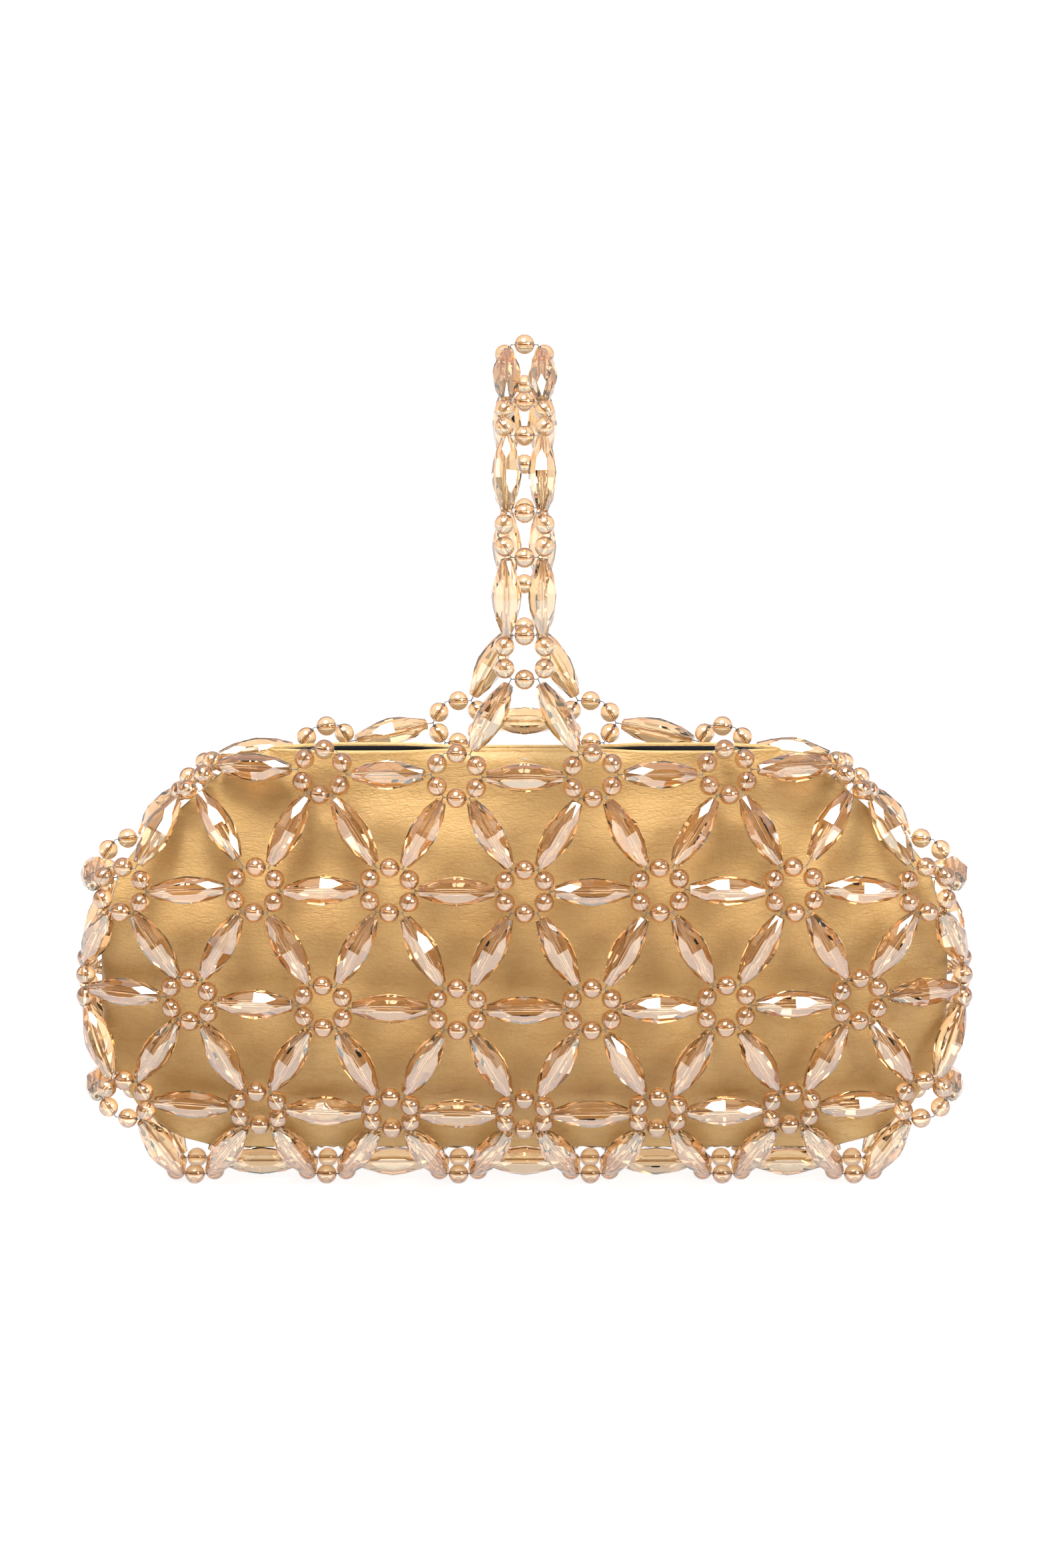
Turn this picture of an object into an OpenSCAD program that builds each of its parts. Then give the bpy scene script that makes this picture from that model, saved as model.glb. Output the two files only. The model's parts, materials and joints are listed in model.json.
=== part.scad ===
/* [Beads] */
// Diameter of a round bead
round_d = 6; // [5:0.1:6.2]
// Distance from a ring's centre to the middle of each of its six round beads
ring_r = 6.8; // [6.6:0.1:7.2]
// Length of a long faceted bead
long_len = 22.6; // [20:0.1:22.6]
// Largest width of a long bead, across its corners
long_d = 9; // [7:0.1:9.4]
// Width of a long bead's cut ends, across their corners
long_end_d = 3.4; // [3:0.1:4]
// Bore through every bead
bore_d = 1.1; // [0.9:0.1:1.3]
// Clear nylon thread
thread_d = 0.5; // [0.3:0.05:0.6]

/* [Net] */
// Distance between neighbouring rings along a row
pitch = 40.2; // [39.8:0.1:41]
// Half width of the rim, at its end rings
rim_half_w = 98.5; // [98:0.5:101]
// Half depth that the rim's curve has in the middle
rim_half_d = 31.6; // [30:0.1:32]
// Height of the rim row in the middle
rim_z = 137.7; // [136:0.1:139]
// Half depth of the upper row in the middle
upper_half_d = 29.5; // [29:0.1:30.5]
// Height of the upper row in the middle
upper_z = 102.3; // [101.5:0.1:103]
// Half width of the net at its side rings, the widest place
side_half_w = 132.5; // [132:0.5:134]
// Half depth of the middle row, the deepest place
middle_half_d = 31.5; // [31:0.1:33]
// Height of the middle row
middle_z = 65.6; // [65:0.1:66.5]
// Half depth of the lower row in the middle
lower_half_d = 24; // [23.5:0.1:25]
// Height of the lower row
lower_z = 29.3; // [29:0.1:30]

/* [Handle] */
// Distance between rings up a strand of the handle
strand_pitch = 37.4; // [37:0.1:38.5]
// Distance of each strand from the middle of the bag, front and back
strand_y = 26; // [25.8:0.1:26.6]
// Height of the lowest ring of a strand
first_ring_z = 174.1; // [173.6:0.1:174.6]
// Sideways distance between the two long beads of a pair
pair_gap = 10.6; // [10.2:0.1:11]

/* [Pouch] */
// Width of the leather pouch at its widest
pouch_w = 256; // [240:1:258]
// Height of the pouch's bottom edge
pouch_z = 10.4; // [10.4:0.2:14]
// Height of the pouch's top edge
mouth_z = 137; // [130:0.5:138]
// Full thickness of the filled pouch in the middle
pouch_t = 40; // [34:0.5:41]
// Thickness between the outer faces at the mouth, where the snap holds it together
mouth_t = 9.4; // [9:0.1:9.8]
// Thickness of the leather
leather_t = 1.3; // [1:0.1:1.6]
// Thickness of the lining
lining_t = 0.7; // [0.5:0.1:0.9]
// Height at which the lips of the mouth start to flex
fold_z = 108; // [106:1:112]

/* [Snap] */
// Diameter of each half of the magnetic snap
snap_d = 12; // [10:0.5:12]
// Height of the snap's middle
snap_z = 130.5; // [130:0.1:131]

/* [Hidden] */
END_TILT = 46;        // the rim's end rings face this far above level
FINE = 32;
loop_r = ring_r / cos(30);
rise = loop_r * sin(60);
loose = 0.4;
cross_out = 1.4;      // the beads across the ends stand this far out from their knots
pair_run = strand_pitch - 2 * rise;
top_gap = 3;          // the arch's top pair stops this much further short of its back ring
// How far the arch's first pair, front ring, top pair and back ring lean back from upright
ARCH_LEAN = [34.4, 58.2, 66, -13];
base_splay = 0.8;     // and the beads up from the base this far to the front or back
// Curve of one row: height, droop at 100 mm out, half width, half depth, fullness of its plan
RIM = [rim_z, 9.3, rim_half_w, rim_half_d, 1.05];
UPPER = [upper_z, 3.2, 160.4, upper_half_d, 1.5];
MIDDLE = [middle_z, 0.9, side_half_w, middle_half_d, 2];
LOWER = [lower_z, -0.5, 146.9, lower_half_d, 2];
BASE = [round_d / 2, 0, 0, 0, 2];
ROWS = [RIM, UPPER, MIDDLE, LOWER, BASE];
RIM_ROW = 0;
UPPER_ROW = 1;
MIDDLE_ROW = 2;
LOWER_ROW = 3;
BASE_ROW = 4;
belt_at = 0.32;        // cut of the long bead: its belt and its kite corners, as shares of its half length
belt_size = 0.89;      // and the belt's width as a share of the widest
apex_at = 0.6;
base_bar_lift = long_d / 2 - round_d / 2 + 0.1;
seam_gap = 0.4;
fold_gap = 0.4;
inner_t = leather_t + lining_t;
// Half of the pouch's side profile: half thickness and height, from the bottom up to the snap
PROFILE = [
    [5.4, pouch_z], [11, 20], [15.1, 30], [18.5, 43], [pouch_t / 2, 60], [pouch_t / 2 - 0.5, 80],
    [16.5, 95], [11, 108], [6.2, 119], [mouth_t / 2, 124]
];
shoulder_x = 71;
shoulder_end_x = 122;
shoulder_z = 98;
side_top_z = 78;
over = 5;              // how far the shapes that are cut run past the mouth
corner_r = 41;
edge_t = 5;
shoulder_run = 130;
side_edge_t = 6;
snap_plate = 1.8;
stud_d = 4;
stud_len = 1.6;
rivet_d = 3;
washer_d = 10;
washer_t = 0.5;
fit = 0.3;

amber = "#E8C29A";
pale_amber = "#F0D2AE";
tan_leather = "#CDAF78";
steel = "#B9BBBE";

// ---- vectors ----
function unit(v) = v / norm(v);
function flip_y(v) = [v[0], -v[1], v[2]];

// ---- where the rings sit: [centre, sideways direction, outward direction] ----
function plan_y(row, x) = row[3] * pow(max(0, 1 - pow(abs(x) / row[2], row[4])), 1 / row[4]);
function row_z(row, x) = row[0] - row[1] * pow(x / 100, 2);
function depth(i, x) = i == BASE_ROW ? 0 : plan_y(ROWS[i], x);
function lean(i, x) = let (above = max(0, i - 1), below = i + 1)
    atan2(depth(below, x) - depth(above, x), row_z(ROWS[above], x) - row_z(ROWS[below], x));
function turn(row, x) = atan2(plan_y(row, x - pitch) - plan_y(row, x + pitch), 2 * pitch);
function front_ring(i, u) = let (
        row = ROWS[i], x = pitch * u, yaw = turn(row, x), up = lean(i, x)
    ) [
        [x, -plan_y(row, x), row_z(row, x)],
        [cos(yaw), sin(yaw), 0],
        [sin(yaw) * cos(up), -cos(yaw) * cos(up), sin(up)]
    ];
function end_ring(s) = [
        [s * rim_half_w, 0, row_z(RIM, rim_half_w)], [0, s, 0], [s * cos(END_TILT), 0, sin(END_TILT)]
    ];
function side_ring(s) = [[s * side_half_w, 0, row_z(MIDDLE, side_half_w)], [0, s, 0], [s, 0, 0]];
function base_ring(u) = [[pitch * u, 0, BASE[0]], [1, 0, 0], [0, 0, -1]];
function strand_ring(i) = [[0, -strand_y, first_ring_z + i * strand_pitch], [1, 0, 0], [0, -1, 0]];
function leaning(a) = [0, sin(a), cos(a)];
function arch_ring(foot, a) = [foot + rise * leaning(a), [1, 0, 0], [0, -cos(a), sin(a)]];
// Halfway between a ring's two upper knots, and between its two lower ones
function top_of(ring) = ring[0] + rise * cross(ring[2], ring[1]);
function foot_of(ring) = ring[0] - rise * cross(ring[2], ring[1]);

function in_ring(ring, r, a) = ring[0] + r * (cos(a) * ring[1] + sin(a) * cross(ring[2], ring[1]));
function knot(ring, i) = in_ring(ring, loop_r, 60 * i);
function nearest(points, goal, i = 0, best = 0) = i == len(points) ? points[best]
    : nearest(points, goal, i + 1, norm(points[i] - goal) < norm(points[best] - goal) ? i : best);
function knot_towards(ring, other) = nearest([for (i = [0:5]) knot(ring, i)], other[0]);
function link(a, b) = [knot_towards(a, b), knot_towards(b, a)];

rim_front = [for (u = [-1.5:1.5]) front_ring(RIM_ROW, u)];
rim_ends = [for (s = [-1, 1]) end_ring(s)];
upper_front = [for (u = [-3:3]) front_ring(UPPER_ROW, u)];
middle_front = [for (u = [-2.5:2.5]) front_ring(MIDDLE_ROW, u)];
sides = [for (s = [-1, 1]) side_ring(s)];
lower_front = [for (u = [-3:3]) front_ring(LOWER_ROW, u)];
base = [for (u = [-2.5:2.5]) base_ring(u)];
strand = [strand_ring(0), strand_ring(1)];
front_arch = arch_ring(top_of(strand[1]) + pair_run * leaning(ARCH_LEAN[0]), ARCH_LEAN[1]);
arch_top = top_of(front_arch) + (pair_run + top_gap) * leaning(ARCH_LEAN[2]);
back_arch = arch_ring(arch_top - 2 * rise * leaning(ARCH_LEAN[3]), ARCH_LEAN[3]);

// ---- which rings each long bead joins ----
rim_row = concat([rim_ends[0]], rim_front, [rim_ends[1]]);
middle_row = concat([sides[0]], middle_front, [sides[1]]);
function along(row) = [for (i = [0:len(row) - 2]) link(row[i], row[i + 1])];
// Every ring of the shorter row hangs from, or holds, its two neighbours in the longer one
function zigzag(short, long) = [for (i = [0:len(short) - 1], k = [0, 1]) link(short[i], long[i + k])];
function cross_link(ring, s) = let (p = knot(ring, s > 0 ? 0 : 3), out = [s * cross_out, 0, 0])
    [p + out, flip_y(p) + out];
leg_links = [link(rim_front[1], strand[0]), link(rim_front[2], strand[0])];
function pair(p, q) = [for (s = [-1, 1]) let (x = [s * pair_gap / 2, 0, 0]) [p + x, q + x]];
strand_links = pair(top_of(strand[0]), foot_of(strand[1]));
arch_links = concat(pair(top_of(strand[1]), foot_of(front_arch)),
    pair(flip_y(top_of(strand[1])), foot_of(back_arch)));
top_links = pair(top_of(front_arch), arch_top - top_gap * leaning(ARCH_LEAN[2]));
top_runs = pair(top_of(front_arch), arch_top);

// ---- beads and thread ----
module place(p, x_dir, z_dir) {
    y_dir = cross(z_dir, x_dir);
    multmatrix([for (k = [0:2]) [x_dir[k], y_dir[k], z_dir[k], p[k]]]) children();
}

// Lays a child that points along Z between two points, turned about its own length
module span(p, q, roll = 0) {
    axis = unit(q - p);
    side = unit(cross(abs(axis[2]) < 0.9 ? [0, 0, 1] : [1, 0, 0], axis));
    place((p + q) / 2, side, axis) rotate([0, 0, roll]) children();
}

module round_bead() {
    difference() {
        sphere(d = round_d, $fn = FINE);
        cylinder(h = round_d + 1, d = bore_d, center = true, $fn = FINE);
    }
}

module ring_beads(rings) {
    for (ring = rings, i = [0:5]) {
        a = 30 + 60 * i;
        p = in_ring(ring, ring_r, a);
        along_thread = unit(in_ring(ring, 1, a + 90) - ring[0]);
        place(p, ring[2], along_thread) round_bead();
    }
}

// Eight-sided brilliant rice cut: a girdle, five-sided and kite facets, and a cut flat at each end
module long_bead() {
    half = long_len / 2;
    r = long_d / 2;
    end_r = long_end_d / 2;
    belt_z = belt_at * half;
    belt_r = belt_size * r;
    apex_z = apex_at * half;
    // The corners where the kites meet lie in the planes of the girdle's facets
    apex_r = cos(22.5) * (r - (r - belt_r) * apex_z / belt_z);
    function circle8(radius, turned, z) = [for (i = [0:7])
        [radius * cos(45 * i + turned), radius * sin(45 * i + turned), z]];
    function half_points(s) = concat(circle8(belt_r, 22.5, s * belt_z), circle8(apex_r, 0, s * apex_z),
        circle8(end_r, 22.5, s * half));
    points = concat(circle8(r, 22.5, 0), half_points(1), half_points(-1));
    function flip(face, s) = s > 0 ? face : [for (i = [len(face) - 1:-1:0]) face[i]];
    function half_faces(s) = let (belt = s > 0 ? 8 : 32, apex = belt + 8, end = apex + 8) concat(
        [for (i = [0:7]) let (j = (i + 1) % 8) flip([j, i, belt + i, apex + j, belt + j], s)],
        [for (i = [0:7]) let (j = (i + 1) % 8) flip([belt + i, end + i, apex + j], s)],
        [for (i = [0:7]) let (j = (i + 1) % 8) flip([belt + j, apex + j, end + j], s)],
        [for (i = [0:7]) let (j = (i + 1) % 8) flip([apex + j, end + i, end + j], s)],
        [flip([for (i = [7:-1:0]) end + i], s)]
    );
    difference() {
        polyhedron(points, concat(half_faces(1), half_faces(-1)));
        cylinder(h = long_len + 1, d = bore_d, center = true, $fn = FINE);
    }
}

module long_beads(links) {
    for (i = [0:len(links) - 1]) span(links[i][0], links[i][1], 22.5 + 17 * i) long_bead();
}

module thread_loops(rings) {
    for (ring = rings)
        place(ring[0], ring[1], -ring[2])
            rotate_extrude($fn = 6) translate([loop_r, 0]) circle(d = thread_d, $fn = 6);
}

module thread_runs(links) {
    for (l = links)
        span(l[0], l[1]) cylinder(h = norm(l[1] - l[0]) - thread_d - loose, d = thread_d,
            center = true, $fn = 16);
}

module back() {
    mirror([0, 1, 0]) children();
}

rim_diagonal_links = concat(zigzag(rim_front, [for (i = [1:5]) upper_front[i]]),
    [for (e = [0, 1], k = [0, 1]) link(rim_ends[e], upper_front[e * 5 + k])]);
upper_diagonal_links = zigzag(middle_front, upper_front);
lower_diagonal_links = zigzag(middle_front, lower_front);
side_links = [for (e = [0, 1], row = [upper_front, lower_front]) link(sides[e], row[e * 6])];
upper_links = concat(upper_diagonal_links, [side_links[0], side_links[2]]);
lower_links = concat(lower_diagonal_links, [side_links[1], side_links[3]]);
base_diagonal_links = [for (l = zigzag(base, lower_front)) [l[0] - [0, base_splay, 0], l[1]]];
cross_links = [for (row = [upper_front, lower_front], e = [0, 1]) cross_link(row[e * 6], 2 * e - 1)];
front_links = concat(along(rim_row), rim_diagonal_links, along(upper_front), upper_links,
    along(middle_row), lower_links, along(lower_front), base_diagonal_links);
front_rings = concat(rim_front, upper_front, middle_front, lower_front);

// ---- net ----
module rim_rings_front() {
    color(amber) ring_beads(rim_front);
}

module rim_rings_back() {
    back() rim_rings_front();
}

module rim_end_rings() {
    color(amber) ring_beads(rim_ends);
}

module upper_rings_front() {
    color(amber) ring_beads(upper_front);
}

module upper_rings_back() {
    back() upper_rings_front();
}

module middle_rings_front() {
    color(amber) ring_beads(middle_front);
}

module middle_rings_back() {
    back() middle_rings_front();
}

module side_rings() {
    color(amber) ring_beads(sides);
}

module lower_rings_front() {
    color(amber) ring_beads(lower_front);
}

module lower_rings_back() {
    back() lower_rings_front();
}

module base_rings() {
    color(amber) ring_beads(base);
}

module rim_bars_front() {
    color(pale_amber) long_beads(along(rim_row));
}

module rim_bars_back() {
    back() rim_bars_front();
}

module rim_diagonals_front() {
    color(pale_amber) long_beads(rim_diagonal_links);
}

module rim_diagonals_back() {
    back() rim_diagonals_front();
}

module upper_bars_front() {
    color(pale_amber) long_beads(along(upper_front));
}

module upper_bars_back() {
    back() upper_bars_front();
}

module upper_diagonals_front() {
    color(pale_amber) long_beads(upper_links);
}

module upper_diagonals_back() {
    back() upper_diagonals_front();
}

module middle_bars_front() {
    color(pale_amber) long_beads(along(middle_row));
}

module middle_bars_back() {
    back() middle_bars_front();
}

module lower_diagonals_front() {
    color(pale_amber) long_beads(lower_links);
}

module lower_diagonals_back() {
    back() lower_diagonals_front();
}

module lower_bars_front() {
    color(pale_amber) long_beads(along(lower_front));
}

module lower_bars_back() {
    back() lower_bars_front();
}

module base_diagonals_front() {
    color(pale_amber) long_beads(base_diagonal_links);
}

module base_diagonals_back() {
    back() base_diagonals_front();
}

module side_bars() {
    color(pale_amber) long_beads(cross_links);
}

module base_bars() {
    color(pale_amber) translate([0, 0, base_bar_lift]) long_beads(along(base));
}

module net_thread_front() {
    color("white") {
        thread_loops(front_rings);
        thread_runs(front_links);
    }
}

module net_thread_back() {
    back() net_thread_front();
}

// Loops of the rings that front and back share, and the runs between them
module net_thread_base() {
    color("white") {
        thread_loops(concat(rim_ends, sides, base));
        thread_runs(cross_links);
        translate([0, 0, base_bar_lift]) thread_runs(along(base));
    }
}

// ---- handle ----
module front_legs() {
    color(pale_amber) long_beads(leg_links);
}

module back_legs() {
    back() front_legs();
}

module front_strand_rings() {
    color(amber) ring_beads([strand[0]]);
}

module back_strand_rings() {
    back() front_strand_rings();
}

module front_strand_bars() {
    color(pale_amber) long_beads(strand_links);
}

module back_strand_bars() {
    back() front_strand_bars();
}

module front_strand_thread() {
    color("white") {
        thread_loops([strand[0]]);
        thread_runs(concat(leg_links, strand_links));
    }
}

module back_strand_thread() {
    back() front_strand_thread();
}

// The four rings that stay together at the top: each strand's last ring and the arch's own two
module crown_rings() {
    color(amber) {
        ring_beads([strand[1], front_arch, back_arch]);
        back() ring_beads([strand[1]]);
    }
}

module crown_bars() {
    color(pale_amber) long_beads(concat(arch_links, top_links));
}

module crown_thread() {
    color("white") {
        thread_loops([strand[1], front_arch, back_arch]);
        thread_runs(concat(arch_links, top_runs));
        back() thread_loops([strand[1]]);
    }
}

// ---- pouch ----
// Two equal arcs back to back: a lens this long and this thick, with blunt ends
module lens(length, thick, end_thick) {
    bulge = (thick - end_thick) / 2;
    radius = (pow(length / 2, 2) + pow(bulge, 2)) / (2 * bulge);
    intersection_for(s = [-1, 1]) translate([0, s * (radius - thick / 2)]) circle(r = radius, $fn = 180);
}

// The pouch's face, with sloping shoulders and round bottom corners. It runs on above the mouth.
module face_outline() {
    w = pouch_w / 2;
    bottom = [for (a = [-90:15:0]) [w - corner_r * (1 - cos(a)), pouch_z + corner_r * (1 + sin(a))]];
    half = concat(bottom, [
        [w, side_top_z], [shoulder_end_x, shoulder_z], [shoulder_x, mouth_z], [shoulder_x, mouth_z + over]
    ]);
    polygon(concat(half, [for (i = [len(half) - 1:-1:0]) [-half[i][0], half[i][1]]]));
}

module side_profile() {
    half = concat(PROFILE, [[mouth_t / 2, mouth_z + over]]);
    polygon(concat(half, [for (i = [len(half) - 1:-1:0]) [-half[i][0], half[i][1]]]));
}

// The space that the pouch fills, drawn in by an inset on every side but the mouth
module pouch_solid(inset) {
    slope = unit([shoulder_end_x - shoulder_x, 0, shoulder_z - mouth_z]);
    crown_t = pouch_t + 1;
    intersection() {
        rotate([90, 0, 0])
            linear_extrude(pouch_t + 2, center = true) offset(delta = -inset) face_outline();
        rotate([90, 0, 90])
            linear_extrude(pouch_w + 2, center = true) offset(delta = -inset) side_profile();
        linear_extrude(mouth_z + 2 * over) lens(pouch_w, crown_t - 2 * inset, side_edge_t - 2 * inset);
        // Toward each sloping shoulder the front and the back come together
        intersection_for(s = [0, 1])
            mirror([s, 0, 0])
                place([shoulder_x, 0, mouth_z], [-slope[2], 0, slope[0]], slope)
                    linear_extrude(4 * pouch_w, center = true) translate([-shoulder_run, 0])
                        lens(2 * shoulder_run, crown_t - 2 * inset, edge_t - 2 * inset);
    }
}

// The front half of one layer of the pouch, between two heights
module layer(outer, inner, low, high) {
    difference() {
        intersection() {
            pouch_solid(outer);
            translate([-pouch_w, -pouch_t, low]) cube([2 * pouch_w, pouch_t - seam_gap / 2, high - low]);
        }
        pouch_solid(inner);
    }
}

// A cylinder through the snap's centre line, from one distance in front of the middle plane to another
module snap_cylinder(d, from, to) {
    translate([0, -from, snap_z]) rotate([90, 0, 0]) cylinder(h = to - from, d = d, $fn = 64);
}

lip_in = mouth_t / 2 - inner_t;
lip_lined = mouth_t / 2 - leather_t;

module pouch_front() {
    color(tan_leather) layer(0, leather_t, 0, fold_z);
}

module pouch_back() {
    back() pouch_front();
}

module lining_front() {
    color("black") layer(leather_t, inner_t, 0, fold_z);
}

module lining_back() {
    back() lining_front();
}

module lip_front() {
    color(tan_leather) difference() {
        layer(0, leather_t, fold_z + fold_gap, mouth_z);
        snap_cylinder(washer_d + 0.1, lip_lined - 1, lip_lined + washer_t);
    }
}

module lip_back() {
    back() lip_front();
}

module lip_lining_front() {
    color("black") difference() {
        layer(leather_t, inner_t, fold_z + fold_gap, mouth_z);
        snap_cylinder(rivet_d + 0.1, 0, lip_lined + 1);
    }
}

module lip_lining_back() {
    back() lip_lining_front();
}

module snap_washer_front() {
    color(steel) snap_cylinder(washer_d, lip_lined, lip_lined + washer_t);
}

module snap_washer_back() {
    back() snap_washer_front();
}

// The magnetic half with the stud, riveted through the front lining to its washer
module snap_stud() {
    face = lip_in - snap_plate;
    color(steel) {
        snap_cylinder(snap_d, face, lip_in);
        snap_cylinder(stud_d, face - stud_len, face + 0.5);
        snap_cylinder(rivet_d, lip_in - 0.5, lip_lined);
    }
}

// The half with the hole that the stud enters
module snap_socket() {
    face = lip_in - snap_plate - 0.4;
    color(steel) back() difference() {
        union() {
            snap_cylinder(snap_d, -face, lip_in);
            snap_cylinder(rivet_d, lip_in - 0.5, lip_lined);
        }
        snap_cylinder(stud_d + 2 * fit, -face - 1, stud_len - face);
    }
}

rim_rings_front();
rim_rings_back();
rim_end_rings();
upper_rings_front();
upper_rings_back();
middle_rings_front();
middle_rings_back();
side_rings();
lower_rings_front();
lower_rings_back();
base_rings();
rim_bars_front();
rim_bars_back();
rim_diagonals_front();
rim_diagonals_back();
upper_bars_front();
upper_bars_back();
upper_diagonals_front();
upper_diagonals_back();
middle_bars_front();
middle_bars_back();
lower_diagonals_front();
lower_diagonals_back();
lower_bars_front();
lower_bars_back();
base_diagonals_front();
base_diagonals_back();
side_bars();
base_bars();
net_thread_front();
net_thread_back();
net_thread_base();
front_legs();
front_strand_rings();
front_strand_bars();
front_strand_thread();
crown_rings();
crown_bars();
crown_thread();
back_legs();
back_strand_rings();
back_strand_bars();
back_strand_thread();
pouch_front();
pouch_back();
lip_front();
lip_back();
lining_front();
lining_back();
lip_lining_front();
lip_lining_back();
snap_stud();
snap_socket();
snap_washer_front();
snap_washer_back();
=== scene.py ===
"""Evening bag: a net of glass beads round a leather pouch, with a beaded handle from front to back."""
import json
import math

import bmesh
import bpy
import numpy as np
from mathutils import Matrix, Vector, noise
from mathutils.bvhtree import BVHTree

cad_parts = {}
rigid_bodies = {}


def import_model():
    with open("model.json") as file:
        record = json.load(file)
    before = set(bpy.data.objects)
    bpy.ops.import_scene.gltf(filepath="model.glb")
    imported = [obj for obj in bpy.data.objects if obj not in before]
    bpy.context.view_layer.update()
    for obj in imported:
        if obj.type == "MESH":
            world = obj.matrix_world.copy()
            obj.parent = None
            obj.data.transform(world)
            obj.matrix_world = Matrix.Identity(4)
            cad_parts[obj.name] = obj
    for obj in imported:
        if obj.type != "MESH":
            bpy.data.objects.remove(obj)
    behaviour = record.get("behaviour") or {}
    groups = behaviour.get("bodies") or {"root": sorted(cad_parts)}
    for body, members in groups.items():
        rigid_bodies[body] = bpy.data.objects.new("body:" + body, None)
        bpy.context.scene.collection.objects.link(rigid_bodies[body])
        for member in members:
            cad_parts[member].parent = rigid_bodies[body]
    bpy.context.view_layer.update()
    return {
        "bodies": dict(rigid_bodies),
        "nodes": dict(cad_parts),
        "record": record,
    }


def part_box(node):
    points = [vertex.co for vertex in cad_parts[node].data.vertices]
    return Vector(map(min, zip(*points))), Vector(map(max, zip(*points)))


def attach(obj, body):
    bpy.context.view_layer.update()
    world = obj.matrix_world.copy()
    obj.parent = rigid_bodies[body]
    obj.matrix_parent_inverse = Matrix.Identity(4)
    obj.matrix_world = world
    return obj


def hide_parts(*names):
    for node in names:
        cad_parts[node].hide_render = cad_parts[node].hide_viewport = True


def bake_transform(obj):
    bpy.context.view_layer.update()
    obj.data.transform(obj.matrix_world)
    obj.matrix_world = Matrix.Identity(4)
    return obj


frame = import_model()

MM = 0.001
NODES = frame["nodes"]
BODY_OF = {n: body for body, names in frame["record"]["behaviour"]["bodies"].items() for n in names}
NET, FRONT_LIP, BACK_LIP = "net_and_pouch", "front_lip", "back_lip"

ROUND_NODES = [n for n in NODES if "rings" in n]
LONG_NODES = [n for n in NODES if "bars" in n or "diagonals" in n or "legs" in n]
THREAD_NODES = [n for n in NODES if "thread" in n]
SNAP_NODES = [n for n in NODES if n.startswith("snap")]


# ---- materials ----
class Shader:
    """A material's node tree, with short calls to add nodes and link them."""

    def __init__(self, name):
        self.material = bpy.data.materials.new(name)
        self.material.use_nodes = True
        self.tree = self.material.node_tree
        self.bsdf = self.tree.nodes["Principled BSDF"]

    def node(self, kind, **values):
        made = self.tree.nodes.new(kind)
        for key, value in values.items():
            setattr(made, key, value)
        return made

    def feed(self, value, socket):
        """Fills a socket with a link, a number or a colour. A colour of three gets an alpha of 1."""
        if isinstance(value, bpy.types.NodeSocket):
            self.tree.links.new(value, socket)
        elif isinstance(value, tuple) and len(value) < len(socket.default_value):
            socket.default_value = (*value, 1)
        else:
            socket.default_value = value

    def place(self, scale=(1, 1, 1)):
        """Object coordinates in metres, stretched by scale."""
        mapping = self.node("ShaderNodeMapping")
        mapping.inputs["Scale"].default_value = scale
        self.feed(self.node("ShaderNodeTexCoord").outputs["Object"], mapping.inputs["Vector"])
        return mapping.outputs["Vector"]

    def texture(self, kind, where, out, values, **inputs):
        """A texture's output. values are the node's own settings, inputs its sockets."""
        made = self.node(kind, **values)
        for key, value in inputs.items():
            made.inputs[key].default_value = value
        self.feed(where, made.inputs["Vector"])
        return made.outputs[out]

    def cloud(self, where, scale, detail=4.0, rough=0.55):
        """Noise with about scale waves in a metre."""
        return self.texture("ShaderNodeTexNoise", where, "Fac", {},
                            Scale=scale, Detail=detail, Roughness=rough)

    def stripes(self, scale, distortion=0.0):
        """Diagonal stripes, finer with a larger scale."""
        return self.texture("ShaderNodeTexWave", self.place(), "Fac", {"bands_direction": "DIAGONAL"},
                            Scale=scale, Distortion=distortion)

    def ramp(self, value, *stops):
        """stops are (position, colour or grey)."""
        made = self.node("ShaderNodeValToRGB")
        marks = made.color_ramp.elements
        while len(marks) < len(stops):
            marks.new(0.5)
        for mark, (at, colour) in zip(marks, stops):
            mark.position = at
            mark.color = (*colour, 1) if isinstance(colour, tuple) else (colour, colour, colour, 1)
        self.feed(value, made.inputs["Fac"])
        return made.outputs["Color"]

    def calc(self, what, a, b=0.0):
        made = self.node("ShaderNodeMath", operation=what)
        self.feed(a, made.inputs[0])
        self.feed(b, made.inputs[1])
        return made.outputs[0]

    def mix(self, factor, a, b):
        made = self.node("ShaderNodeMix", data_type="RGBA")
        for value, socket in zip((factor, a, b), (made.inputs[0], made.inputs[6], made.inputs[7])):
            self.feed(value, socket)
        return made.outputs[2]

    def bump(self, height, depth, strength):
        made = self.node("ShaderNodeBump")
        made.inputs["Strength"].default_value = strength
        made.inputs["Distance"].default_value = depth
        self.feed(height, made.inputs["Height"])
        self.feed(made.outputs["Normal"], self.bsdf.inputs["Normal"])

    def set(self, **values):
        for key, value in values.items():
            self.feed(value, self.bsdf.inputs[key.replace("_", " ")])


GLASS_IOR = 1.52
LUSTRE_NM, LUSTRE_IOR = 66, 2.05
STREAKS, HAZE = 260, 900


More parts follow.
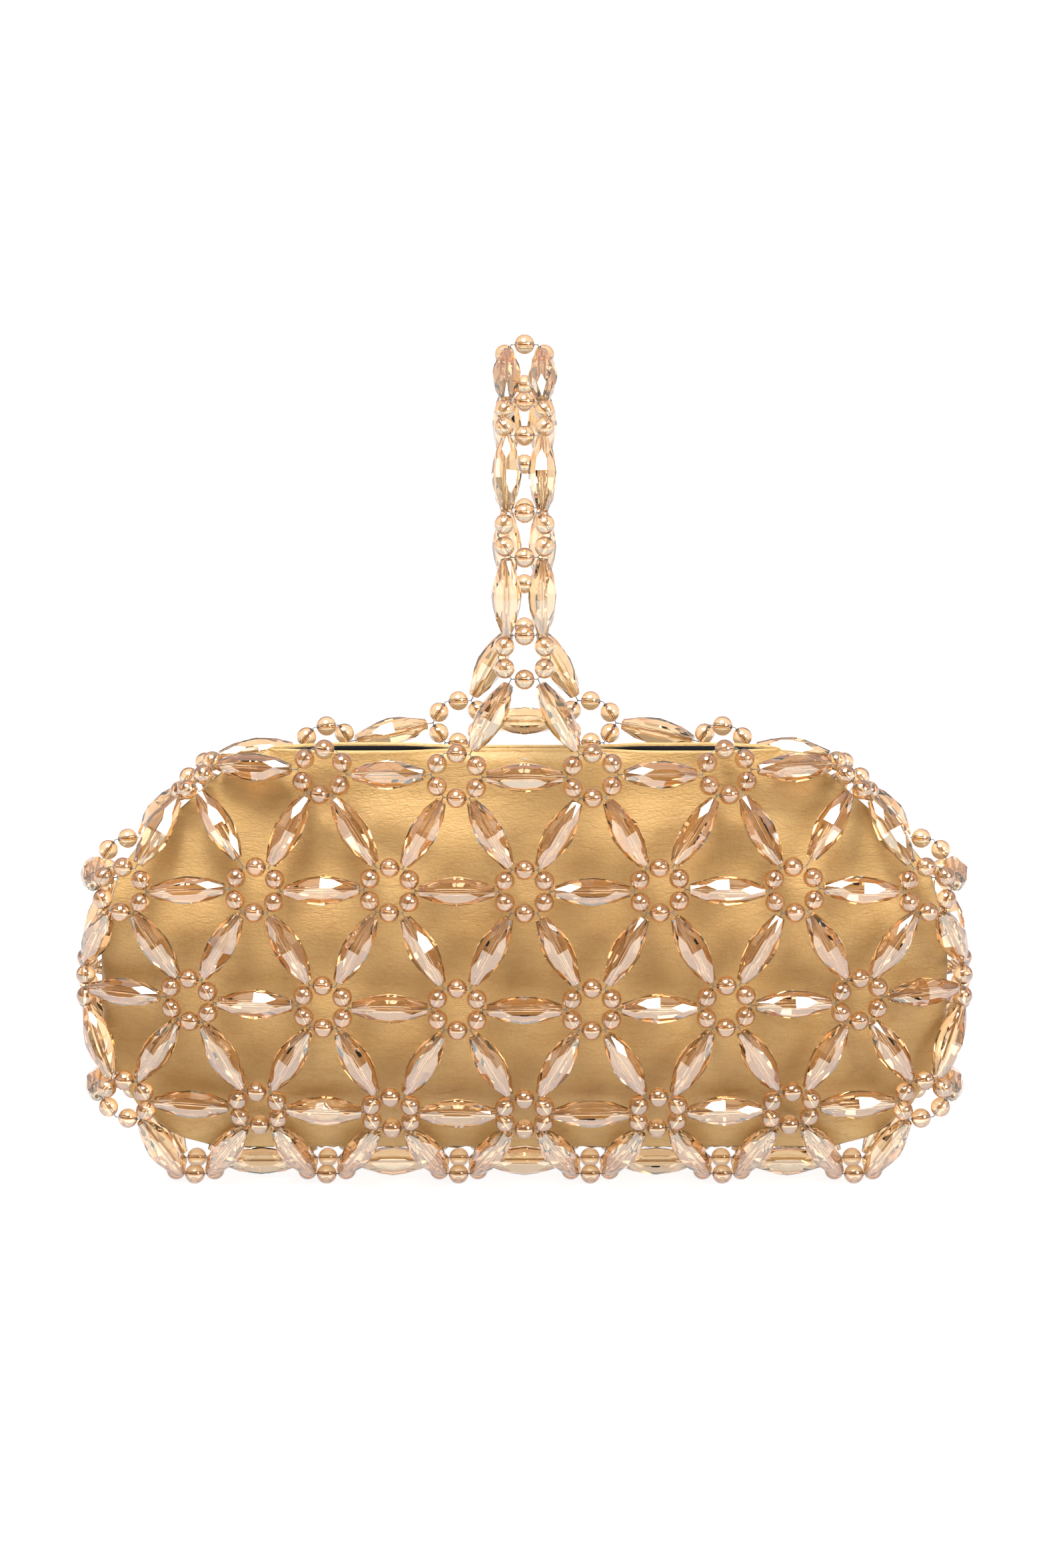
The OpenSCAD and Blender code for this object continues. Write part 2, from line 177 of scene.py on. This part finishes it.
def glass(name, clear, deep):
    """Champagne glass under a thin lustre coat: paler face on, deeper where it is seen edge on."""
    s = Shader(name)
    rim = s.node("ShaderNodeLayerWeight").outputs["Facing"]
    body = s.ramp(rim, (0.1, clear), (0.52, deep))
    streaks = s.ramp(s.cloud(s.place(), STREAKS, 2), (0.35, 0.0), (0.7, 0.3))
    s.set(
        Base_Color=s.mix(streaks, body, clear),
        Roughness=s.ramp(s.cloud(s.place(), HAZE, 3), (0.3, 0.006), (0.75, 0.04)),
        IOR=GLASS_IOR, Transmission_Weight=1.0, Thin_Film_Thickness=LUSTRE_NM, Thin_Film_IOR=LUSTRE_IOR,
    )
    return s.material


# Texture sizes of the leather, as how many cells or waves there are in a metre
PEBBLES, CREASES, SWELLS, GRAINS = 620, 120, 150, 2600
TONES, SHINES = 34, 420
# The pebbles are drifted by up to DRIFT metres, so that they don't lie in rows
DRIFTS, DRIFT = 160, 0.0022
PALE_HIDE, DARK_HIDE = (0.59, 0.386, 0.152), (0.485, 0.297, 0.1)
# Painted shade: the darker colours mixed into the gaps between pebbles and along the crease lines
PEBBLE_GAP_SHADE, CREASE_SHADE = (0.42, 0.24, 0.07), (0.40, 0.22, 0.06)


def leather():
    """Butter-coloured leather: fine pebbles, thin creases and soft swells, with painted shade darkening the
    pebble gaps and crease lines.
    """
    s = Shader("butter_leather")
    where = s.place()
    drift = s.node("ShaderNodeVectorMath", operation="MULTIPLY_ADD")
    s.feed(s.texture("ShaderNodeTexNoise", where, "Color", {}, Scale=DRIFTS), drift.inputs[0])
    drift.inputs[1].default_value = (DRIFT, DRIFT, DRIFT)
    s.feed(s.place((0.72, 1, 1.25)), drift.inputs[2])
    gaps = s.texture("ShaderNodeTexVoronoi", drift.outputs[0], "Distance", {"feature": "DISTANCE_TO_EDGE"},
                     Scale=PEBBLES)
    pebble = s.ramp(gaps, (0.0, 0.0), (0.16, 0.8), (0.5, 1.0))
    # Creases are the thin lines where a stretched noise crosses its middle
    fold = s.cloud(s.place((0.5, 1, 1.7)), CREASES, 4, 0.6)
    crease = s.ramp(s.calc("ABSOLUTE", s.calc("SUBTRACT", fold, 0.5)), (0.0, 0.0), (0.02, 0.75), (0.07, 1.0))
    swell = s.cloud(s.place((0.6, 1, 1.5)), SWELLS, 5, 0.6)
    grain = s.cloud(where, GRAINS, 3)

    height = s.calc("MULTIPLY", pebble, 0.36)
    for layer, share in ((crease, 0.42), (swell, 1.1), (grain, 0.14)):
        height = s.calc("ADD", height, s.calc("MULTIPLY", layer, share))
    s.bump(height, 0.32 * MM, 0.7)

    colour = s.ramp(s.cloud(where, TONES), (0.3, DARK_HIDE), (0.7, PALE_HIDE))
    # Painted shade: the gaps between pebbles and the crease lines are mixed towards darker colours
    for top, share, shade_colour in ((pebble, 0.18, PEBBLE_GAP_SHADE), (crease, 0.26, CREASE_SHADE)):
        low = s.calc("SUBTRACT", 1.0, top)
        colour = s.mix(s.calc("MULTIPLY", low, share), colour, shade_colour)
    s.set(
        Base_Color=colour,
        Roughness=s.ramp(s.cloud(where, SHINES), (0.3, 0.46), (0.7, 0.62)),
        Sheen_Weight=0.05, Coat_Weight=0.04, Coat_Roughness=0.35,
    )
    return s.material


def lining():
    s = Shader("black_lining")
    weave = s.stripes(900, 0.4)
    s.set(
        Base_Color=s.ramp(weave, (0.2, (0.008, 0.007, 0.008)), (0.9, (0.022, 0.02, 0.02))),
        Roughness=s.ramp(weave, (0.0, 0.75), (1.0, 0.95)), Specular_IOR_Level=0.2,
    )
    s.bump(weave, 0.1 * MM, 0.5)
    return s.material


def thread():
    s = Shader("grey_thread")
    twist = s.stripes(1500)
    s.set(
        Base_Color=s.ramp(twist, (0.2, (0.16, 0.13, 0.10)), (0.8, (0.33, 0.28, 0.23))),
        Roughness=s.ramp(twist, (0.0, 0.35), (1.0, 0.5)),
    )
    s.bump(twist, 0.03 * MM, 0.4)
    return s.material


def snap_metal():
    s = Shader("snap_metal")
    brushed = s.place((1, 1, 12))
    s.set(
        Base_Color=s.ramp(s.cloud(s.place(), 500), (0.3, (0.55, 0.56, 0.58)), (0.7, (0.7, 0.7, 0.71))),
        Roughness=s.ramp(s.cloud(brushed, 700, 3), (0.3, 0.2), (0.7, 0.38)), Metallic=1.0,
    )
    return s.material


def finish_nodes(names, material):
    for name in names:
        for slot in NODES[name].material_slots:
            slot.material = material


finish_nodes(ROUND_NODES, glass("champagne_glass_round", (0.93, 0.67, 0.38), (0.64, 0.21, 0.03)))
finish_nodes(LONG_NODES, glass("champagne_glass_cut", (0.94, 0.69, 0.40), (0.64, 0.19, 0.03)))
LEATHER, LINING, THREAD = leather(), lining(), thread()
finish_nodes(SNAP_NODES, snap_metal())


# ---- where the beads are, read from the frame ----
def unit(v):
    return v / np.linalg.norm(v)


def solids(node):
    """The corners of each closed solid of a CAD node."""
    mesh = NODES[node].data
    co = np.zeros(len(mesh.vertices) * 3, np.float32)
    mesh.vertices.foreach_get("co", co)
    ends = np.zeros(len(mesh.edges) * 2, np.int32)
    mesh.edges.foreach_get("vertices", ends)
    corners, same = np.unique(np.round(co.reshape(-1, 3).astype(float), 6), axis=0, return_inverse=True)
    a, b = same.ravel()[ends.reshape(-1, 2)].T
    # Each corner takes the lowest label that it can reach along edges
    label = np.arange(len(corners))
    while True:
        low = np.minimum(label[a], label[b])
        new = label.copy()
        np.minimum.at(new, a, low)
        np.minimum.at(new, b, low)
        new = new[new]
        if (new == label).all():
            break
        label = new
    return [corners[label == k] for k in np.unique(label)]


RING_REACH = 14.2 * MM  # beads of one ring are nearer to each other than this


def rings(node):
    """Each ring of round beads: six bead centres, in order round the ring."""
    centres = [(s.min(0) + s.max(0)) / 2 for s in solids(node)]
    found = []
    while centres:
        near = [c for c in centres if np.linalg.norm(c - centres[0]) < RING_REACH]
        centres = [c for c in centres if np.linalg.norm(c - centres[0]) >= RING_REACH]
        hub = np.mean(near, axis=0)
        u = unit(near[0] - hub)
        n = unit(np.cross(u, max(near, key=lambda c: np.linalg.norm(np.cross(u, c - hub))) - hub))
        v = np.cross(n, u)
        near.sort(key=lambda c: math.atan2((c - hub) @ v, (c - hub) @ u))
        found.append(near)
    return found


def knots(ring):
    """Where the thread crosses, between neighbouring beads of a ring."""
    hub = np.mean(ring, axis=0)
    reach = np.linalg.norm(ring[0] - hub) / math.cos(math.radians(30))
    return [hub + reach * unit((ring[i] + ring[(i + 1) % 6]) / 2 - hub) for i in range(6)]


def bead_ends(node):
    """Both ends of the bore of each long bead."""
    ends = []
    for s in solids(node):
        mid = (s.min(0) + s.max(0)) / 2
        axis = np.linalg.svd(s - s.mean(0), full_matrices=False)[2][0]
        along = (s - mid) @ axis
        ends.append((mid + axis * along.min(), mid + axis * along.max()))
    return ends


# ---- meshes ----
def add_mesh(name, points, faces, material, smooth=True):
    mesh = bpy.data.meshes.new(name)
    mesh.from_pydata([tuple(p) for p in points], [], faces)
    mesh.validate()
    mesh.materials.append(material)
    if smooth:
        mesh.shade_smooth()
    made = bpy.data.objects.new(name, mesh)
    bpy.context.collection.objects.link(made)
    return made


TUBE_SIDES = 8
OFF_AXIS = (0.31, 0.87, 0.38)  # along no tube here, so it can start a frame on any of them


def tube(path, radius, closed):
    """Corners and faces of a round tube along a path."""
    path = np.array(path)
    count = len(path)
    if closed:
        heading = np.roll(path, -1, 0) - np.roll(path, 1, 0)
    else:
        heading = np.gradient(path, axis=0)
    points, faces = [], []
    side = unit(np.cross(heading[0], OFF_AXIS))
    for p, h in zip(path, heading):
        h = unit(h)
        side = unit(side - (side @ h) * h)
        up = np.cross(h, side)
        for k in range(TUBE_SIDES):
            a = 2 * math.pi * k / TUBE_SIDES
            points.append(p + radius * (math.cos(a) * side + math.sin(a) * up))
    for i in range(count if closed else count - 1):
        a, b = i * TUBE_SIDES, (i + 1) % count * TUBE_SIDES
        for k in range(TUBE_SIDES):
            nxt = (k + 1) % TUBE_SIDES
            faces.append((a + k, a + nxt, b + nxt, b + k))
    if not closed:
        last = (count - 1) * TUBE_SIDES
        faces += [tuple(range(TUBE_SIDES))[::-1], tuple(range(last, last + TUBE_SIDES))]
    return points, faces


# ---- thread: a loop through each ring, and a run from ring to ring through each long bead ----
THREAD_R = 0.17 * MM
BORE_HALF = 2.95 * MM
KNOT_SHARE = 0.985  # a loop passes just inside its knots
all_knots = np.array([k for node in ROUND_NODES for ring in rings(node) for k in knots(ring)])


def ring_loop(ring):
    """The line through the six beads of a ring, straight in each bore."""
    hub = np.mean(ring, axis=0)
    loop = []
    for i, (bead, knot) in enumerate(zip(ring, knots(ring))):
        along = unit(ring[(i + 1) % 6] - ring[i - 1])
        loop += [bead - along * BORE_HALF, bead, bead + along * BORE_HALF]
        loop.append(hub + (knot - hub) * KNOT_SHARE)
    return loop


def bead_run(a, b):
    """The line through a long bead, on to the nearest knot at each end."""
    start, stop = (all_knots[np.argmin(np.linalg.norm(all_knots - end, axis=1))] for end in (a, b))
    return [start, a, (a + b) / 2, b, stop]


def line_of(body):
    """All the line on one body."""
    runs = [(ring_loop(ring), True) for n in ROUND_NODES if BODY_OF[n] == body for ring in rings(n)]
    runs += [(bead_run(a, b), False) for n in LONG_NODES if BODY_OF[n] == body for a, b in bead_ends(n)]
    points, faces = [], []
    for path, closed in runs:
        more, quads = tube(path, THREAD_R, closed)
        faces += [tuple(i + len(points) for i in q) for q in quads]
        points += more
    return points, faces


for body in frame["bodies"]:
    replaced = [n for n in THREAD_NODES if BODY_OF[n] == body]
    if replaced:
        made = add_mesh(body + "_line", *line_of(body), THREAD)
        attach(made, body)
        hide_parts(*replaced)

# ---- pouch ----
LEATHER_T, LINING_T = 1.3 * MM, 0.7 * MM
# Faces across a sheet, up it and round its turned edge. EASE packs them towards the edges
COLUMNS, ROWS, TURNS = 150, 120, 5
EASE = 1.4
# The outline: round bottom corners and straight sides, then a line up over the sloping shoulder
CORNER_R = 41 * MM
SIDE_TOP_Z = 78 * MM
SHOULDER = [(x * MM, z * MM) for x, z in ((122, 99), (116, 107), (101, 120.6), (90.5, 130.2), (76, 137.3))]
# The face rounds over to the seam along its edge, wider at the shoulders
SEAM_HALF = 0.2 * MM
SIDE_ROUND, SHOULDER_ROUND = 2.4 * MM, 9 * MM
SHOULDER_FROM_Z, SHOULDER_BLEND = 90 * MM, 20 * MM
# The snap draws the lips together above itself
PINCH_HALF, PINCH_DEEP = 30 * MM, 3.2 * MM
SNAP_GAP = 0.4 * MM
LIP_SHUT = SNAP_GAP / 2 + LINING_T + LEATHER_T
RIM_RISE, LINING_DROP = 0.3 * MM, 0.1 * MM
LINING_IN, LINING_GAP = 3 * MM, 0.1 * MM
# Folds in the leather: waves in a metre along x and z, the noise above which they show, and how deep they dip
BROAD_WAVES, BROAD_FROM, BROAD_DEEP, BROAD_SHARP = (14, 38), 0.35, 1.2 * MM, 1.4
SMALL_WAVES, SMALL_FROM, SMALL_DEEP = (55, 120), 0.3, 0.3 * MM
# Their noise: how fast finer waves fade, how much finer each octave is, and how many there are
BROAD_OCTAVES, SMALL_OCTAVES = (0.9, 2.1, 4), (0.8, 2.0, 3)
WRINKLE_FADE = 8 * MM


class Face:
    """One half of the pouch as a smooth depth over (x, z), measured from its CAD solids on a grid."""

    STEP = 1.0 * MM
    FAR = 0.1
    THIN = 0.5 * MM
    PASSES = 6

    def __init__(self, side, end):
        self.side = side
        low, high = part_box("pouch_" + end)
        self.low_z, self.half_w = low.z, high.x
        self.top_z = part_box("lip_" + end)[1].z
        points, faces = [], []
        for node in ("pouch_" + end, "lip_" + end):
            mesh = NODES[node].data
            base = len(points)
            points += [v.co.copy() for v in mesh.vertices]
            faces += [tuple(base + i for i in p.vertices) for p in mesh.polygons]
        tree = BVHTree.FromPolygons(points, faces)
        xs = np.arange(0, self.half_w + self.STEP, self.STEP)
        zs = np.arange(self.low_z - self.STEP, self.top_z + self.STEP, self.STEP)
        depth = np.zeros((len(zs), len(xs)))
        for i, z in enumerate(zs):
            for j, x in enumerate(xs):
                hit = tree.ray_cast(Vector((x, side * self.FAR, z)), Vector((0, -side, 0)))[0]
                depth[i, j] = abs(hit.y) if hit is not None else 0
        self.first_z = zs[0]
        self.depth = self.spread(depth, depth > self.THIN)

    def spread(self, depth, inside):
        """Fills outside the outline from its edge, closes the slot at the fold and softens the creases."""
        for row, there in zip(depth, inside):
            if there.any():
                last = there.nonzero()[0].max()
                row[last + 1:] = row[last]
        rows = [i for i, there in enumerate(inside) if there.any()]
        depth[:rows[0]] = depth[rows[0]]
        depth[rows[-1] + 1:] = depth[rows[-1]]
        closed = depth.copy()
        closed[1:-1] = np.maximum(depth[1:-1], np.minimum(depth[:-2], depth[2:]))
        for _ in range(self.PASSES):
            wide = np.pad(closed, 1, mode="edge")
            wide[:, 0] = wide[:, 2]
            beside = wide[:-2, 1:-1] + wide[2:, 1:-1] + wide[1:-1, :-2] + wide[1:-1, 2:]
            closed = (beside + 4 * wide[1:-1, 1:-1]) / 8
        return closed

    def at(self, x, z):
        rows, columns = self.depth.shape
        i = min(max((z - self.first_z) / self.STEP, 0), rows - 1.001)
        j = min(abs(x) / self.STEP, columns - 1.001)
        a, b = int(i), int(j)
        s, t = i - a, j - b
        below = (1 - t) * self.depth[a, b] + t * self.depth[a, b + 1]
        above = (1 - t) * self.depth[a + 1, b] + t * self.depth[a + 1, b + 1]
        return (1 - s) * below + s * above


def clamp(t):
    return max(0.0, min(1.0, t))


def ease(t):
    """From -1 to 1 as t goes from 0 to 1, with smaller steps near both ends."""
    return math.sin(EASE * (2 * t - 1)) / math.sin(EASE)


def half_width(face, z):
    """Half the pouch's width at a height."""
    if z < face.low_z + CORNER_R:
        rise = clamp((face.low_z + CORNER_R - z) / CORNER_R)
        return face.half_w - CORNER_R + CORNER_R * math.sqrt(1 - rise ** 2)
    line = [(face.half_w, SIDE_TOP_Z), *SHOULDER]
    for (x0, z0), (x1, z1) in zip(line, line[1:]):
        if z0 < z <= z1:
            return x0 + (x1 - x0) * (z - z0) / (z1 - z0)
    return face.half_w if z <= SIDE_TOP_Z else line[-1][0]


def outline(face, inset=0.0, steps=80):
    """Points round the sides and bottom of the pouch, from one mouth corner to the other."""
    climb = [1 - math.cos(math.pi / 2 * k / steps) for k in range(steps + 1)]
    heights = [face.low_z + (face.top_z - face.low_z) * c for c in climb]
    right = [(half_width(face, z), z) for z in heights[::-1]]
    bottom = [(right[-1][0] * (1 - 2 * k / steps), face.low_z) for k in range(1, steps)]
    path = np.array(right + bottom + [(-x, z) for x, z in right[::-1]])
    step = np.gradient(path, axis=0)
    inward = np.stack([step[:, 1], -step[:, 0]], 1)
    inward /= np.linalg.norm(inward, axis=1)[:, None]
    return path + inward * inset


def wrinkle(x, z, side):
    """How far the leather dips in at a point: broad soft folds and small ones, unlike on the two sides."""
    # The shifts take each side from a stretch of the noise of its own
    broad_at = Vector((x * BROAD_WAVES[0] + 31 * side, z * BROAD_WAVES[1], 2.7 * side))
    small_at = Vector((x * SMALL_WAVES[0] - 17 * side, z * SMALL_WAVES[1], 9.1))
    broad = noise.fractal(broad_at, *BROAD_OCTAVES) * 0.5 + 0.5
    small = noise.fractal(small_at, *SMALL_OCTAVES) * 0.5 + 0.5
    return BROAD_DEEP * max(0, broad - BROAD_FROM) ** BROAD_SHARP + SMALL_DEEP * max(0, small - SMALL_FROM)


def half_depth(face, x, z, to_edge, sunk):
    """How far a sheet lies from the middle of the pouch, sunk under the leather's outer face."""
    out = face.at(x, min(z, face.top_z)) - wrinkle(x, z, face.side) * clamp(to_edge / WRINKLE_FADE)
    pinch = math.exp(-(x / PINCH_HALF) ** 6) * clamp((z - face.top_z + PINCH_DEEP) / PINCH_DEEP) ** 2
    out = max(out + (LIP_SHUT - out) * pinch - sunk, SEAM_HALF)
    shoulder = clamp((z - SHOULDER_FROM_Z) / SHOULDER_BLEND)
    near = 1 - clamp(to_edge / (SIDE_ROUND + (SHOULDER_ROUND - SIDE_ROUND) * shoulder))
    return max(out * math.sqrt(1 - near ** 2), SEAM_HALF)


def turned_edge(points, outer, inner):
    """Strips of a half round from the outer edge of a sheet over to its inner edge, along the mouth."""
    strips = []
    last = outer
    for k in range(1, TURNS):
        angle = math.pi * k / TURNS
        nxt = range(len(points), len(points) + len(outer))
        for i, j in zip(outer, inner):
            a, b = np.array(points[i]), np.array(points[j])
            rise = np.linalg.norm(b - a) / 2 * math.sin(angle)
            points.append(tuple((a + b) / 2 + (a - b) / 2 * math.cos(angle) + np.array((0, 0, rise))))
        strips.append((last, nxt))
        last = nxt
    return strips + [(last, inner)]


def shell(name, face, material, outer_in, inner_in, inset, top):
    """One half of the pouch as a closed sheet, between two depths under its outer face, inset at its edge."""
    rim = outline(face, inset)
    low = face.low_z + inset
    points, outer, inner = [], [], []
    for r in range(ROWS + 1):
        z = low + (top - low) * (1 + ease(r / ROWS)) / 2
        w = half_width(face, min(z, face.top_z)) - inset
        for layer, sunk in ((outer, outer_in), (inner, inner_in)):
            layer.append(range(len(points), len(points) + COLUMNS + 1))
            for c in range(COLUMNS + 1):
                x = w * ease(c / COLUMNS)
                on_edge = r == 0 or c in (0, COLUMNS)
                to_edge = 0.0 if on_edge else np.hypot(rim[:, 0] - x, rim[:, 1] - z).min()
                points.append((x, face.side * half_depth(face, x, z, to_edge, sunk), z))
    strips = list(zip(outer, outer[1:])) + [(b, a) for a, b in zip(inner, inner[1:])]
    strips += turned_edge(points, outer[-1], inner[-1])
    faces = [(a[c], a[c + 1], b[c + 1], b[c])[::-face.side] for a, b in strips for c in range(COLUMNS)]
    return add_mesh(name, points, faces, material)


def close_seam(obj, distance=0.002 * MM, speck=1e-13):
    """Joins the two sides of a sheet where they meet, and leaves it closed, with no slivers of faces."""
    bm = bmesh.new()
    bm.from_mesh(obj.data)
    bmesh.ops.remove_doubles(bm, verts=bm.verts, dist=distance)
    bmesh.ops.delete(bm, geom=[f for f in bm.faces if f.calc_area() < speck], context="FACES_ONLY")
    bmesh.ops.holes_fill(bm, edges=[e for e in bm.edges if e.is_boundary], sides=0)
    bmesh.ops.recalc_face_normals(bm, faces=bm.faces)
    bm.to_mesh(obj.data)
    bm.free()
    obj.data.shade_smooth()


for side, end, lip in ((-1, "front", FRONT_LIP), (1, "back", BACK_LIP)):
    face = Face(side, end)
    skin = shell("leather_" + end, face, LEATHER, 0, LEATHER_T, 0, face.top_z + RIM_RISE)
    inside = shell("lining_sheet_" + end, face, LINING, LEATHER_T + LINING_GAP, LEATHER_T + LINING_T,
                   LINING_IN, face.top_z - LINING_DROP)
    sheets = ((skin, "leather", ("pouch_", "lip_")), (inside, "lining", ("lining_", "lip_lining_")))
    for made, slot, kinds in sheets:
        close_seam(made)
        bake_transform(made)
        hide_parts(*(kind + end for kind in kinds))

# The welt follows the outline, which is the same for both halves
WELT_R, WELT_IN = 0.55 * MM, 0.5 * MM
welt = add_mesh("seam_welt", *tube([(x, 0, z) for x, z in outline(face, WELT_IN)], WELT_R, False), LEATHER)
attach(welt, NET)

# ---- floor, light and camera ----
FLOOR_GLOW = 0.84
FLOOR_SIDE, FLOOR_FRONT, FLOOR_BACK = 6, -6, 8
LIGHT_AIM = (0, 0, 0.12)
KEY_AT, FILL_AT = (-0.26, -0.62, 1.75), (1.4, -1.2, 1.0)
# The room's brightness in front of the bag and behind it, and the directions along Y between which it changes
SKY_FRONT, SKY_BACK, SKY_TURN = 0.1, 0.65, (-0.5, 0.2)


def floor():
    """A pale floor that glows, so that it stays as white as the backdrop."""
    s = Shader("pale_floor")
    s.set(
        Base_Color=s.ramp(s.cloud(s.place(), 30, 3), (0.3, 0.34), (0.7, 0.38)),
        Roughness=s.ramp(s.cloud(s.place(), 60, 3), (0.3, 0.55), (0.7, 0.7)),
        Emission_Color=(1, 1, 1, 1), Emission_Strength=FLOOR_GLOW,
    )
    corners = [(-FLOOR_SIDE, FLOOR_FRONT, 0), (FLOOR_SIDE, FLOOR_FRONT, 0),
               (FLOOR_SIDE, FLOOR_BACK, 0), (-FLOOR_SIDE, FLOOR_BACK, 0)]
    add_mesh("floor", corners, [(0, 1, 2, 3)], s.material, False)


def softbox(name, place, size, power):
    data = bpy.data.lights.new(name, "AREA")
    data.shape, data.size, data.energy = "DISK", size, power
    made = bpy.data.objects.new(name, data)
    made.location = place
    made.rotation_euler = (Vector(LIGHT_AIM) - Vector(place)).to_track_quat("-Z", "Y").to_euler()
    bpy.context.collection.objects.link(made)


def sky():
    """A white room behind the bag and a dim one in front of it. The backdrop itself is white all round."""
    world = bpy.data.worlds.new("studio")
    bpy.context.scene.world = world
    world.use_nodes = True
    nodes, links = world.node_tree.nodes, world.node_tree.links
    split = nodes.new("ShaderNodeSeparateXYZ")
    links.new(nodes.new("ShaderNodeTexCoord").outputs["Generated"], split.inputs["Vector"])
    back = nodes.new("ShaderNodeMapRange")
    back.inputs["From Min"].default_value, back.inputs["From Max"].default_value = SKY_TURN
    back.inputs["To Min"].default_value, back.inputs["To Max"].default_value = SKY_FRONT, SKY_BACK
    links.new(split.outputs["Y"], back.inputs["Value"])
    seen = nodes.new("ShaderNodeMath")
    seen.operation = "MAXIMUM"
    links.new(nodes.new("ShaderNodeLightPath").outputs["Is Camera Ray"], seen.inputs[0])
    links.new(back.outputs["Result"], seen.inputs[1])
    links.new(seen.outputs[0], nodes["Background"].inputs["Strength"])
    nodes["Background"].inputs["Color"].default_value = (1, 1, 1, 1)


ELEVATION = math.radians(18.6)
CAMERA_FAR = 2.0
CAMERA_AIM = Vector((-0.0006, 0, 0.1261))
VIEW_HEIGHT = 0.4704
SENSOR = 36


def front_camera():
    """In front of the bag and above it, with VIEW_HEIGHT metres in view from top to bottom at the bag."""
    data = bpy.data.cameras.new("camera")
    data.sensor_width = SENSOR
    data.lens = data.sensor_width * CAMERA_FAR / VIEW_HEIGHT
    data.clip_start, data.clip_end = 0.05, 50
    camera = bpy.data.objects.new("camera", data)
    camera.location = CAMERA_AIM + CAMERA_FAR * Vector((0, -math.cos(ELEVATION), math.sin(ELEVATION)))
    camera.rotation_euler = (math.pi / 2 - ELEVATION, 0, 0)
    bpy.context.collection.objects.link(camera)
    bpy.context.scene.camera = camera


floor()
softbox("key", KEY_AT, 1.25, 34)
softbox("key_core", KEY_AT, 0.45, 26)
softbox("fill", FILL_AT, 0.9, 18)
sky()
front_camera()
bpy.context.scene.view_settings.view_transform = "Standard"
